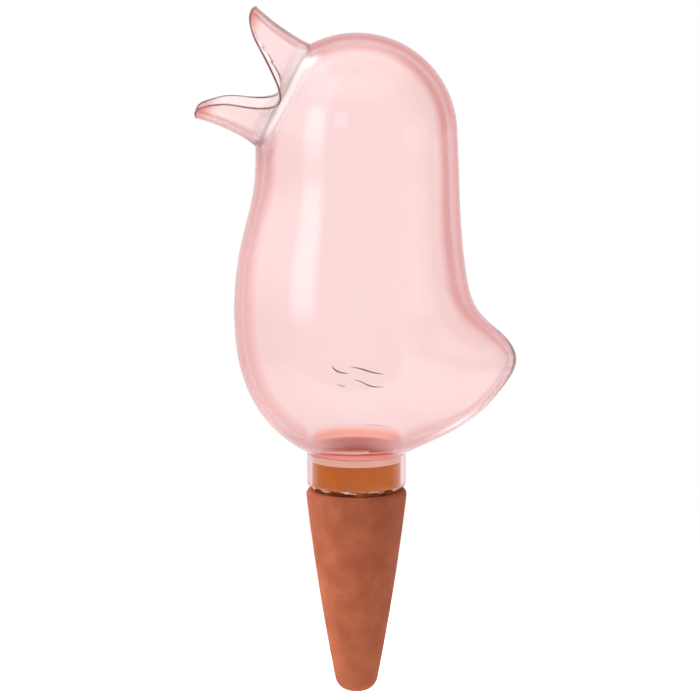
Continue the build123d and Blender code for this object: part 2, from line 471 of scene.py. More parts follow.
@dataclass(frozen=True)
class MouldedRubber:
    """Amber natural rubber, moulded.

    Light goes a little way into it, so it glows warm, and its skin is satin with faint flow marks. Its flange
    is coloured darker than the rest.
    """

    name: str = "amber_rubber_moulded"
    deep: str = "#c46a00"
    pale: str = "#ce7200"
    flow_span: Span = (0.3, 0.75)
    foot_dark: str = "#6a3018"
    foot_pale: str = "#a85a34"
    foot_dark_span: Span = (0.48, 0.62)
    foot_dark_top: float = 2.7
    foot_dark_fade: float = 0.3
    flow_size: float = 5.0
    flow_height: float = 0.05
    glow_depth: float = 1.5

    def make(self) -> bpy.types.Material:
        """Build the rubber's node tree."""
        material, tree, place = new_material(self.name)
        noise = {"Scale": 1 / (self.flow_size * MM), "Detail": 3.0}
        flow = add_node(tree, "TexNoise", {}, noise, {"Vector": place})
        flow_stops = list(zip(self.flow_span, (self.deep, self.pale)))
        colour = add_node(tree, "ValToRGB", links={"Fac": flow}, stops=flow_stops)
        # The flange, below about 2.7 mm, takes darker mottled colours than the rest
        foot_dark_stops = list(zip(self.foot_dark_span, (self.foot_dark, self.foot_pale)))
        foot_colour = add_node(tree, "ValToRGB", links={"Fac": flow}, stops=foot_dark_stops)
        parts = add_node(tree, "SeparateXYZ", links={"Vector": place}).outputs
        span = {"From Min": (self.foot_dark_top - self.foot_dark_fade) * MM, "From Max": self.foot_dark_top * MM}
        above_foot = add_node(tree, "MapRange", {}, span, {"Value": parts["Z"]})
        foot_coloured = add_node(tree, "Mix", COLOURS, links={0: above_foot, 6: foot_colour, 7: colour})
        relief = {"Strength": 0.4, "Distance": self.flow_height * MM}
        bump = add_node(tree, "Bump", {}, relief, {"Height": flow})
        skin = {
            "Roughness": 0.5,
            "IOR": 1.52,
            "Specular IOR Level": 0.0,
            "Subsurface Weight": 0.35,
            "Subsurface Radius": (1.0, 0.35, 0.1),
            "Subsurface Scale": self.glow_depth * MM,
        }
        shader = add_node(tree, "BsdfPrincipled", {}, skin, {"Base Color": foot_coloured, "Normal": bump})
        add_node(tree, "OutputMaterial", links={"Surface": shader})
        return material


@dataclass(frozen=True)
class LitShadedBead:
    """The sleeve's top bead in the same rubber, painted pale pink outside as light and red within as shade.
    """

    name: str = "amber_rubber_moulded_bead"
    outside: str = "#f6cdb9"
    inside: str = "#e85c38"
    inner: float = 9.3
    outer: float = 11.1
    colour_span: Span = (0.7, 0.97)

    def make(self) -> bpy.types.Material:
        """Build the bead's node tree."""
        material, tree, place = new_material(self.name)
        level = add_node(tree, "VectorMath", TIMES, {1: (1.0, 1.0, 0.0)}, {0: place})
        reach = add_node(tree, "VectorMath", {"operation": "LENGTH"}, links={0: level})
        span = {"From Min": self.inner * MM, "From Max": self.outer * MM}
        share = add_node(tree, "MapRange", {}, span, {"Value": reach})
        # Painted light and shade: red within where the bore is shaded, pale pink on the lit outer rim
        stops = list(zip(self.colour_span, (self.inside, self.outside)))
        colour = add_node(tree, "ValToRGB", links={"Fac": share}, stops=stops)
        skin = {"Roughness": 0.5, "IOR": 1.52, "Specular IOR Level": 0.15}
        shader = add_node(tree, "BsdfPrincipled", {}, skin, {"Base Color": colour})
        add_node(tree, "OutputMaterial", links={"Surface": shader})
        return material


@dataclass(frozen=True)
class ThinLip:
    """The same rubber moulded thin, so that it only tints what is seen through it, less toward its edge."""

    name: str = "amber_rubber_moulded_thin"
    root: str = "#ffbda8"
    edge: str = "#fffdfc"
    foot: float = 11.1
    top: float = 15.4
    colour_span: Span = (0.4, 1.0)

    def make(self) -> bpy.types.Material:
        """Build the thin rubber's node tree."""
        material, tree, place = new_material(self.name)
        parts = add_node(tree, "SeparateXYZ", links={"Vector": place}).outputs
        span = {"From Min": self.foot * MM, "From Max": self.top * MM}
        rise = add_node(tree, "MapRange", {}, span, {"Value": parts["Z"]})
        stops = list(zip(self.colour_span, (self.root, self.edge)))
        colour = add_node(tree, "ValToRGB", links={"Fac": rise}, stops=stops)
        skin = {"Roughness": 0.0, "IOR": 1.001, "Transmission Weight": 1.0}
        shader = add_node(tree, "BsdfPrincipled", {}, skin, {"Base Color": colour})
        add_node(tree, "OutputMaterial", links={"Surface": shader})
        return material


@dataclass(frozen=True)
class FiredClay:
    """Terracotta, cast and fired without glaze.

    It is quite matt, with soft patches of lighter and darker firing, a fine sandy grain and a few open pores
    whose pits are darkened with painted shade.
    """

    name: str = "terracotta_fired_unglazed"
    dark: str = "#a75739"
    light: str = "#bc694a"
    pore_shade: str = "#944e32"
    patch_size: float = 7.0
    patch_span: Span = (0.32, 0.7)
    grain_size: float = 0.55
    grain_height: float = 0.12
    pore_spacing: float = 2.6
    pore_span: Span = (0.05, 0.1)

    def make(self) -> bpy.types.Material:
        """Build the clay's node tree."""
        material, tree, place = new_material(self.name)
        noises = []
        for size, detail, rough in ((self.patch_size, 5.0, 0.6), (self.grain_size, 3.0, 0.65)):
            noise = {"Scale": 1 / (size * MM), "Detail": detail, "Roughness": rough}
            noises.append(add_node(tree, "TexNoise", {}, noise, {"Vector": place}))
        patches, grain = noises
        stops = list(zip(self.patch_span, (self.dark, self.light)))
        colour = add_node(tree, "ValToRGB", links={"Fac": patches}, stops=stops)
        pores = add_node(tree, "TexVoronoi", {}, {"Scale": 1 / (self.pore_spacing * MM)}, {"Vector": place})
        stops = list(zip(self.pore_span, ("#ffffff", "#000000")))
        pits = add_node(tree, "ValToRGB", links={"Fac": pores}, stops=stops)
        # Painted shade darkens the pores' pits
        pore_shaded = add_node(tree, "Mix", COLOURS, {7: linear(self.pore_shade)}, {0: pits, 6: colour})
        height = add_node(tree, "Math", MINUS, links={0: grain, 1: pits})
        relief = {"Strength": 0.5, "Distance": self.grain_height * MM}
        bump = add_node(tree, "Bump", {}, relief, {"Height": height})
        skin = {"Roughness": 0.92, "IOR": 1.5, "Specular IOR Level": 0.25}
        shader = add_node(tree, "BsdfPrincipled", {}, skin, {"Base Color": pore_shaded, "Normal": bump})
        add_node(tree, "OutputMaterial", links={"Surface": shader})
        return material


@dataclass(frozen=True)
class MarkedPlastic:
    """A mark in the clear plastic, glossy and mottled between two colours."""

    name: str
    low: str
    high: str
    span: Span
    size: float
    detail: float

    def make(self) -> bpy.types.Material:
        """Build the mark's node tree."""
        material, tree, place = new_material(self.name)
        noise = {"Scale": 1 / (self.size * MM), "Detail": self.detail}
        fade = add_node(tree, "TexNoise", {}, noise, {"Vector": place})
        stops = list(zip(self.span, (self.low, self.high)))
        colour = add_node(tree, "ValToRGB", links={"Fac": fade}, stops=stops)
        skin = {"Roughness": 0.3, "IOR": 1.5}
        shader = add_node(tree, "BsdfPrincipled", {}, skin, {"Base Color": colour})
        add_node(tree, "OutputMaterial", links={"Surface": shader})
        return material


@dataclass(frozen=True)
class CreaseShade(MarkedPlastic):
    """Plastic pinched in the mould.

    The fold turns light aside, so a thin crease looks like a soft brown-grey pencil line that fades along it.
    """

    name: str = "clear_pink_plastic_pinched_crease"
    low: str = "#664446"
    high: str = "#b08586"
    span: Span = (0.35, 0.7)
    size: float = 4.0
    detail: float = 1.0


@dataclass(frozen=True)
class HighlitBurr(MarkedPlastic):
    """Plastic torn where the neck was trimmed, painted pale as the highlights that its broken flecks catch.
    """

    name: str = "clear_pink_plastic_trimmed_burr"
    low: str = "#dd9c84"
    high: str = "#fae0d0"
    span: Span = (0.4, 0.6)
    size: float = 1.2
    detail: float = 2.0


@dataclass(frozen=True)
class LipShade:
    """The cut edge of the clear plastic.

    It gathers the tint of the whole wall behind it, so the side near the light shows salmon-brown and the far
    side a dark mauve line.
    """

    name: str = "clear_pink_plastic_cut_edge"
    near: str = "#86574f"
    far: str = "#4a343a"
    pale: str = "#b5857c"
    spread: float = 2.5
    fade_length: float = 4.0
    fade_span: Span = (0.45, 0.75)

    def make(self) -> bpy.types.Material:
        """Build the edge's node tree."""
        material, tree, place = new_material(self.name)
        parts = add_node(tree, "SeparateXYZ", links={"Vector": place}).outputs
        span = {"From Min": -self.spread * MM, "From Max": self.spread * MM}
        side = add_node(tree, "MapRange", {}, span, {"Value": parts["Y"]})
        sides = {6: linear(self.near), 7: linear(self.far)}
        shade = add_node(tree, "Mix", COLOURS, sides, {0: side})
        noise = {"Scale": 1 / (self.fade_length * MM), "Detail": 1.0}
        fade = add_node(tree, "TexNoise", {}, noise, {"Vector": place})
        span = {"From Min": self.fade_span[0], "From Max": self.fade_span[1]}
        share = add_node(tree, "MapRange", {}, span, {"Value": fade})
        colour = add_node(tree, "Mix", COLOURS, {7: linear(self.pale)}, {0: share, 6: shade})
        skin = {"Roughness": 0.3, "IOR": 1.5}
        shader = add_node(tree, "BsdfPrincipled", {}, skin, {"Base Color": colour})
        add_node(tree, "OutputMaterial", links={"Surface": shader})
        return material


# Sub-assemblies


@dataclass
class BirdBody:
    """The hollow bird and its neck, one clear shell open at the beak's seat and at the neck's rim."""

    head_radius: float = 24.9
    head_height: float = 90.8
    wall: float = 2.4
    neck_radius: float = 12.35
    neck_wall: float = 1.2
    neck_rim: float = 2.6
    neck_top: float = 11.1
    neck_margin: float = 0.5
    rim_round: float = 0.9
    floor_overlap: float = 4.0
    floor_slope: float = 27.0
    flare: Span = (0.09, -0.07)
    outer_start: float = 0.22
    inner_start: float = 0.15
    breast: Points = ((22.3, 19.0), (28.0, 29.2), (30.4, 44.0), (28.4, 64.5), (25.3, 78.5))
    flank: Points = ((21.8, 19.0), (26.6, 29.2), (28.6, 44.0), (27.1, 64.5), (25.2, 78.5))
    tail: Points = ((28.3, 19.0), (36.4, 27.2), (39.8, 34.8), (36.5, 40.6), (32.7, 43.8), (30.2, 46.8))
    back: Points = ((27.1, 57.0), (25.6, 74.0))
    seat_pitch: float = 28.0
    seat_radius: float = 14.2
    throat_opening: float = 16.4
    inner_round: float = 4.0
    rim_chips: float = 0.22
    chip_seed: int = 5
    chip_run: int = 8
    chip_shift: int = 3
    cut_tolerance: float = 0.001
    around: int = 304
    body_levels: int = 72
    dome_levels: int = 26
    lines: list[np.ndarray] = field(init=False)

    def __post_init__(self) -> None:
        """Draw the three upright outlines that every section takes its reach from."""
        drop = self.floor_overlap * math.tan(math.radians(self.floor_slope))
        start = (self.neck_radius - self.floor_overlap, self.neck_top - drop)
        junction = (self.neck_radius, self.neck_top)
        cheek = corner_arc((0.0, self.head_height), self.head_radius, 0, 45, 4)
        sides = (self.breast, self.flank, (*self.tail, *self.back))
        self.lines = [smooth_line([start, junction, *knots, *cheek]) for knots in sides]

    @property
    def forward(self) -> np.ndarray:
        """Way that the beak points."""
        pitch = math.radians(self.seat_pitch)
        return np.array([-math.cos(pitch), 0.0, math.sin(pitch)])

    @property
    def above(self) -> np.ndarray:
        """Way from the middle of the beak's seat to its top."""
        return np.array([self.forward[2], 0.0, -self.forward[0]])

    @property
    def inside_lines(self) -> list[np.ndarray]:
        """Upright outlines of the inside of the wall."""
        return [offset_line(line, self.wall) for line in self.lines]

    def chord(self, radius: float, opening: float) -> np.ndarray:
        """Find the middle of a round opening in a dome of a radius."""
        return np.array([0.0, 0.0, self.head_height]) + self.forward * math.sqrt(radius**2 - opening**2)

    def skin(self, lines: list[np.ndarray], radius: float, start: float) -> list[np.ndarray]:
        """Draw the rings of one skin of the body from a level up to the crown.

        Args:
            lines: the skin's upright outlines toward the beak, the side and the tail.
            radius: radius of its dome.
            start: lowest level.

        Returns:
            Rings from the bottom up, the last a single point.
        """
        rings = []
        for level in np.linspace(start, self.head_height, self.body_levels, endpoint=False):
            reach = [reach_at(line, level) for line in lines]
            rings.append(egg_ring(level, *reach, self.around))
        for rise in np.linspace(0.0, math.pi / 2, self.dome_levels):
            ring = max(0.0, radius * math.cos(rise))
            rings.append(egg_ring(self.head_height + radius * math.sin(rise), ring, ring, ring, self.around))
        return rings

    def fit(self, places: np.ndarray, lines: list[np.ndarray], radius: float) -> np.ndarray:
        """Move points drawn on a round head onto the body where it widens below the head's middle.

        Args:
            places: points on or near a ball round the head's middle.
            lines: upright outlines of the skin that they belong to.
            radius: radius of the ball.

        Returns:
            The points on the skin.
        """
        moved = places.copy()
        for at in zip(*np.nonzero(places[..., 2] < self.head_height)):
            across, aside, height = places[at]
            front, side = [reach_at(line, height) for line in lines[:2]]
            ball = math.sqrt(radius**2 - (height - self.head_height) ** 2)
            turn = math.atan2(aside, across)
            reach = 1 / math.hypot(math.cos(turn) / front, math.sin(turn) / side)
            moved[at][:2] *= reach / ball
        return moved

    def cut_head(self, skin: bpy.types.Object, centre: np.ndarray) -> None:
        """Slice the beak's opening off one skin.

        Args:
            skin: the whole skin.
            centre: middle of the opening.
        """
        cut = {"plane_co": Vector(centre * MM), "plane_no": Vector(self.forward)}
        with editing(skin):
            bpy.ops.mesh.bisect(**cut, use_fill=False, clear_outer=True, threshold=MERGE)

    def cut_edge(self, skin: bpy.types.Object, centre: np.ndarray) -> np.ndarray:
        """Read the edge of the beak's opening.

        Args:
            skin: a skin with its head cut.
            centre: middle of the cut.

        Returns:
            Points of the edge, in order round the opening from its top.
        """
        places = np.array([spot.co for spot in skin.data.vertices]) / MM - centre
        places = places[np.abs(places @ self.forward) < self.cut_tolerance]
        turns = np.arctan2(places[:, 1], places @ self.above)
        return (places + centre)[np.argsort(turns % (2 * math.pi))]

    def chip_rim(self, rings: list[np.ndarray]) -> None:
        """Roughen the neck's cut rim, lower rings most, so that it glistens in broken flecks.

        Args:
            rings: rings of the neck from the rim up, changed in place.
        """
        chance = np.random.default_rng(self.chip_seed)
        fine = chance.uniform(0.0, 1.0, self.around)
        broad = np.repeat(chance.uniform(0.0, 1.0, self.around // self.chip_run), self.chip_run)
        chips = self.rim_chips * np.roll(0.5 * fine + 0.5 * broad, self.chip_shift)
        for ring in rings:
            share = max(0.0, 1.0 - (ring[0, 2] - self.neck_rim) / self.rim_round)
            ring[:, 2] += chips * share

    def outer_skin(self) -> bpy.types.Object:
        """Model the outside from the neck's rim to the crown.

        Returns:
            The skin, open at the rim.
        """
        bend = (self.neck_radius - self.rim_round, self.neck_rim + self.rim_round)
        neck = [(self.neck_radius - self.neck_wall, self.neck_rim)]
        neck += corner_arc(bend, self.rim_round, -90, 0, 7)
        levels = np.linspace(bend[1] + self.neck_margin, self.neck_top - self.neck_margin, 8)
        neck += upright(self.neck_radius, levels)
        neck += [(self.neck_radius + self.flare[0], self.neck_top + self.flare[1])]
        rings = list(lathe_rings(neck, self.around))
        self.chip_rim(rings)
        rings += self.skin(self.lines, self.head_radius, self.neck_top + self.outer_start)
        return roll_grid("bird_shell", np.stack(rings))

    def inner_skin(self) -> bpy.types.Object:
        """Model the inside from the neck's rim to the crown.

        Returns:
            The skin, open at the rim.
        """
        bore = self.neck_radius - self.neck_wall
        lines = self.inside_lines
        base = lines[0][: len(lines[0]) // 3]
        floor_edge = float(np.interp(bore, base[:, 0], base[:, 1]))
        tangent = self.inner_round * math.tan(math.pi / 4 - math.radians(self.floor_slope) / 2)
        shaft = upright(bore, np.linspace(self.neck_rim, floor_edge - tangent, 10))
        middle = (bore + self.inner_round, floor_edge - tangent)
        shaft += corner_arc(middle, self.inner_round, 180, 90 + self.floor_slope, 7)[1:]
        rings = list(lathe_rings(shaft, self.around))
        self.chip_rim(rings[:1])
        floor_start = float(np.interp(shaft[-1][0] + self.inner_start, base[:, 0], base[:, 1]))
        rings += self.skin(lines, self.head_radius - self.wall, floor_start)
        return roll_grid("reservoir_inside", np.stack(rings))

    def build(self, beak: "BeakFunnel") -> bpy.types.Object:
        """Model the shell with the beak welded on.

        Args:
            beak: the funnel that grows from the head's cut edge.

        Returns:
            The closed shell at its place.
        """
        outer = self.outer_skin()
        inner = self.inner_skin()
        seat = self.chord(self.head_radius, beak.crease_ring(self)[0])
        self.cut_head(outer, seat)
        funnel = beak.grow(self, self.cut_edge(outer, seat))
        self.cut_head(inner, self.chord(self.head_radius - self.wall, self.throat_opening))
        pick(inner, funnel, outer)
        bpy.ops.object.join()
        unwanted = ("extend", "use_wire", "use_multi_face", "use_non_contiguous", "use_verts")
        with editing(outer):
            bpy.ops.mesh.remove_doubles(threshold=MERGE)
            bpy.ops.mesh.select_mode(type="EDGE")
            bpy.ops.mesh.select_all(action="DESELECT")
            bpy.ops.mesh.select_non_manifold(use_boundary=True, **dict.fromkeys(unwanted, False))
            bpy.ops.mesh.bridge_edge_loops()
            bpy.ops.mesh.select_all(action="SELECT")
            bpy.ops.mesh.normals_make_consistent(inside=False)
        return outer


@dataclass
class BeakFunnel:
    """The open two-lipped beak, a thin clear funnel welded to the head round its root."""

    root_radius: float = 14.2
    wall: float = 1.4
    crease_round: float = 0.25
    crease_steps: int = 7
    crease_fade: int = 3
    inside_reach: float = 0.13
    length: float = 20.5
    tilt: float = 2.0
    mid_half_height: float = 14.45
    mid_half_width: float = 12.4
    lip_half_height: float = 17.0
    lip_half_width: float = 9.0
    upper_rim: Points = ((15.0, 17.6), (16.4, 16.2), (16.9, 14.8), (15.9, 12.4), (12.1, 9.0), (5.05, 4.3))
    corner: Span = (0.9, -0.8)
    lower_rim: Points = (
        (5.3, -4.8), (12.1, -7.7), (16.2, -10.9), (17.5, -12.8), (17.3, -14.2), (16.0, -15.9)
    )
    rim_bulge: float = 0.7
    rim_turns: tuple[int, ...] = (22, 45, 67, 90, 113, 135, 158)
    line_depth: float = 0.3
    crest_depth: float = 0.5
    levels: int = 26
    halvings: int = 40

    def half_size(self, out: np.ndarray, root: float, middle: float, lip: float) -> np.ndarray:
        """Read a half size that eases through its values at root, half way and lips."""
        t = out / self.length
        return root * (1 - t) * (1 - 2 * t) + middle * 4 * t * (1 - t) + lip * t * (2 * t - 1)

    def skin_point(self, out: np.ndarray, turn: np.ndarray, inset: float) -> np.ndarray:
        """Place points of the funnel's skin.

        Args:
            out: distances from the seat.
            turn: angles round the funnel, from the top.
            inset: how far inside the outer skin.

        Returns:
            Points as distance out, height over the seat's centre and distance to the side.
        """
        root = self.root_radius - inset
        tall = self.half_size(out, root, self.mid_half_height - inset, self.lip_half_height - inset)
        wide = self.half_size(out, root, self.mid_half_width - inset, self.lip_half_width - inset)
        rise = out * math.tan(math.radians(self.tilt))
        return np.stack([out, rise + tall * np.cos(turn), wide * np.sin(turn)], axis=-1)

    def mouth_reach(self, turn: np.ndarray, inset: float) -> np.ndarray:
        """Find where each line of the funnel meets the mouth's rim, by halving.

        Args:
            turn: angles of the lines round the funnel, from the top.
            inset: how far inside the outer skin.

        Returns:
            Distances from the seat.
        """
        rim = smooth_line([*self.upper_rim, self.corner, *self.lower_rim])[::-1]
        low = np.zeros_like(turn)
        high = np.full_like(turn, self.length)
        for _ in range(self.halvings):
            middle = (low + high) / 2
            height = self.skin_point(middle, turn, inset)[:, 1]
            inside = np.interp(height, rim[:, 1], rim[:, 0]) > middle
            low = np.where(inside, middle, low)
            high = np.where(inside, high, middle)
        return low

    def on_head(self, bird: BirdBody, spots: np.ndarray) -> np.ndarray:
        """Turn distances out, up and to the side of the seat into places on the bird."""
        seat = bird.chord(bird.head_radius, bird.seat_radius)
        places = seat + spots[..., :1] * bird.forward + spots[..., 1:2] * bird.above
        places[..., 1] += spots[..., 2]
        return places

    def lip_line(self, bird: BirdBody, inset: float, steps: int) -> np.ndarray:
        """Draw the line of the lips' rim, once round the mouth, at a depth inside the outer skin."""
        turn = np.linspace(0.0, 2 * math.pi, steps)
        out = self.mouth_reach(turn, inset) - self.wall * self.line_depth
        return self.on_head(bird, self.skin_point(out, turn, inset))

    def crest_line(self, bird: BirdBody, inset: float, steps: int) -> np.ndarray:
        """Draw the line along the top of the upper lip, root to tip, at a depth inside the outer skin."""
        top = np.zeros(steps)
        tip = self.mouth_reach(top[:1], inset)[0] - self.wall * self.crest_depth
        return self.on_head(bird, self.skin_point(np.linspace(self.wall, tip, steps), top, inset))

    def seat_depth(self, bird: BirdBody) -> float:
        """Find how far the seat's middle is from the head's."""
        return math.sqrt(bird.head_radius**2 - self.root_radius**2)

    def crease_middle(self, bird: BirdBody) -> Span:
        """Find the middle of the round in the crease, as radius and distance out from the seat."""
        radius = self.root_radius + self.crease_round
        out = math.sqrt((bird.head_radius + self.crease_round) ** 2 - radius**2)
        return radius, out - self.seat_depth(bird)

    def crease_ring(self, bird: BirdBody) -> Span:
        """Find where the crease leaves the head, as radius and distance out from the seat."""
        share = bird.head_radius / (bird.head_radius + self.crease_round)
        seat = self.seat_depth(bird)
        radius, out = self.crease_middle(bird)
        return radius * share, (out + seat) * share - seat

    def crease(self, bird: BirdBody, turn: np.ndarray, inside: bool) -> list[np.ndarray]:
        """Draw one side of the rounded crease between head and funnel.

        Args:
            bird: the body that the funnel grows from.
            turn: angles round the funnel, from the top.
            inside: whether to draw the inner side, which runs on along the head.

        Returns:
            Rings from the funnel to the head, each as distance out, height and distance to the side.
        """
        radius, out = self.crease_middle(bird)
        seat = self.seat_depth(bird)
        lean = math.atan2(radius, out + seat)
        rings = []
        for share in np.linspace(0.0, 1.0, self.crease_steps):
            angle = math.pi / 2 - share * (math.pi / 2 - lean)
            reach = self.crease_round + (self.wall + (bird.wall - self.wall) * share if inside else 0.0)
            rings.append((out - reach * math.cos(angle), radius - reach * math.sin(angle)))
        if inside:
            ball = bird.head_radius - bird.wall
            for share in np.linspace(0.0, 1.0, self.crease_steps + 1)[1:]:
                angle = lean + share * self.inside_reach
                rings.append((ball * math.cos(angle) - seat, ball * math.sin(angle)))
        return [
            np.stack([along + 0 * turn, across * np.cos(turn), across * np.sin(turn)], axis=-1)
            for along, across in rings
        ]

    def grow(self, bird: BirdBody, edge: np.ndarray) -> bpy.types.Object:
        """Model the funnel from the edge of the head's opening, out to the lips and back down its bore.

        Args:
            bird: the body that it grows from.
            edge: points of the opening's edge, in order from its top.

        Returns:
            The funnel's skin, open at its root and at the throat.
        """
        seat = bird.chord(bird.head_radius, bird.seat_radius)
        turn = np.arctan2(edge[:, 1], (edge - seat) @ bird.above)
        half = self.wall / 2
        root = self.crease_middle(bird)[1]
        skins = []
        for inset in (0.0, self.wall):
            reach = self.mouth_reach(turn, inset) - half * self.rim_bulge
            start = np.minimum(root, reach / 2)
            shares = np.linspace(0.0, 1.0, self.levels)[1:]
            skins.append([self.skin_point(start + (reach - start) * share, turn, inset) for share in shares])
        outer, inner = skins
        lip_way = (outer[-1] - outer[-2]) + (inner[-1] - inner[-2])
        lip_way /= np.linalg.norm(lip_way, axis=1)[:, None]
        middle = (outer[-1] + inner[-1]) / 2
        across = (outer[-1] - inner[-1]) / 2
        rim = []
        for angle in np.radians(self.rim_turns):
            rim.append(middle + across * math.cos(angle) + lip_way * half * self.rim_bulge * math.sin(angle))
        fold = self.crease(bird, turn, inside=False)[::-1]
        rings = np.stack(fold + outer + rim + inner[::-1] + self.crease(bird, turn, inside=True))
        places = self.on_head(bird, rings)
        inside = places[-self.crease_steps :]
        inside[:] = bird.fit(inside, bird.inside_lines, bird.head_radius - bird.wall)
        fade = np.clip(1 - np.arange(len(places)) / (self.crease_steps + self.crease_fade), 0.0, 1.0)
        places += (edge - places[0])[None] * fade[:, None, None]
        return roll_grid("beak_skin", places)


@dataclass
class WingCreases:
    """Four thin creases pinched in the near flank where the wing lies, as across and height points."""

    bird: BirdBody
    strokes: tuple[Points, ...] = (
        ((-6.2, 37.8), (-5.5, 36.9), (-4.1, 36.1), (-1.9, 35.8)),
        ((-1.7, 37.4), (0.2, 37.2), (3.6, 36.1), (6.7, 35.4)),
        ((-1.0, 34.1), (0.3, 34.0), (3.0, 32.7), (6.9, 32.2)),
        ((-4.9, 33.1), (-3.4, 32.6), (-2.4, 32.7)),
    )
    radii: tuple[float, ...] = (0.2, 0.18, 0.15, 0.1)
    swell: float = 0.7
    around: int = 10
    steps: int = 60
    ring_points: int = 400

    def flank_point(self, across: float, height: float) -> np.ndarray:
        """Find the point of the near flank at a distance across and a height."""
        reach = [reach_at(line, height) for line in self.bird.lines]
        ring = egg_ring(height, *reach, self.ring_points)
        near = ring[ring[:, 1] < 0]
        near = near[np.argsort(near[:, 0])]
        return np.array([across, float(np.interp(across, near[:, 0], near[:, 1])), height])

    def build(self) -> list[bpy.types.Object]:
        """Model the creases.

        Returns:
            One tapered thread for each crease.
        """
        threads = []
        near = np.array([[0.0, -1.0, 0.0]])
        for number, (stroke, radius) in enumerate(zip(self.strokes, self.radii), start=1):
            path = np.array([self.flank_point(*spot) for spot in smooth_line(stroke, self.steps)])
            rings = thread_rings(path, radius * taper(self.steps, self.swell), near, self.around)
            threads.append(roll_grid(f"wing_crease_{number}", rings))
        return threads


@dataclass
class LipEdges:
    """The sharp edges of the beak's cut lips and of its crest, seen as fine dark lines a little apart."""

    bird: BirdBody
    beak: BeakFunnel
    insets: Span = (0.1, 1.0)
    radius: float = 0.26
    thinnest: float = 0.45
    knot_steps: int = 12
    crest_share: float = 0.6
    crest_swell: float = 0.4
    seed: int = 11
    around: int = 8
    steps: int = 420
    crest_steps: int = 60

    def build(self) -> list[bpy.types.Object]:
        """Model the edges.

        Returns:
            One closed thread for each edge of the lips and one open thread for each edge of the crest.
        """
        chance = np.random.default_rng(self.seed)
        threads = []
        along = np.linspace(0, 1, self.steps)
        for name, inset in zip(("outer", "inner"), self.insets):
            path = self.beak.lip_line(self.bird, inset, self.steps)
            knots = chance.uniform(self.thinnest, 1.0, self.steps // self.knot_steps)
            knots = np.append(knots, knots[0])
            size = self.radius * np.interp(along, np.linspace(0, 1, len(knots)), knots)
            rings = thread_rings(path, size, path - path.mean(axis=0), self.around)
            threads.append(roll_grid(f"lip_edge_{name}", rings[:-1], closed=True))
        for name, inset in zip(("outer", "inner"), self.insets):
            path = self.beak.crest_line(self.bird, inset, self.crest_steps)
            size = self.radius * self.crest_share * taper(self.crest_steps, self.crest_swell)
            rings = thread_rings(path, size, np.array([[0.0, 1.0, 0.0]]), self.around)
            threads.append(roll_grid(f"lip_crest_{name}", rings))
        return threads


@dataclass
class NeckBurr:
    """Small torn slivers left along the neck's trimmed rim."""

    bird: BirdBody
    count: int = 54
    inset: Span = (0.05, 0.5)
    length: Span = (1.0, 4.2)
    radius: Span = (0.06, 0.18)
    rise: Span = (-0.05, 0.5)
    jitter: Span = (-0.15, 0.15)
    swell: float = 0.5
    seed: int = 3
    around: int = 7
    steps: int = 12

    def build(self) -> bpy.types.Object:
        """Model the slivers.

        Returns:
            All slivers as one piece.
        """
        chance = np.random.default_rng(self.seed)
        slivers = []
        for number in range(self.count):
            reach = self.bird.neck_radius - chance.uniform(*self.inset)
            half = chance.uniform(*self.length) / reach / 2
            turns = chance.uniform(0.0, 2 * math.pi) + np.linspace(-half, half, self.steps)
            level = self.bird.neck_rim + chance.uniform(*self.rise) + chance.uniform(*self.jitter, self.steps)
            path = np.column_stack([reach * np.sin(turns), -reach * np.cos(turns), level])
            size = chance.uniform(*self.radius) * taper(self.steps, self.swell)
            rings = thread_rings(path, size, path * (1.0, 1.0, 0.0), self.around)
            slivers.append(roll_grid(f"sliver_{number}", rings))
        pick(*reversed(slivers))
        bpy.ops.object.join()
        slivers[0].name = "neck_rim_burr"
        slivers[0].data.name = "neck_rim_burr"
        return slivers[0]


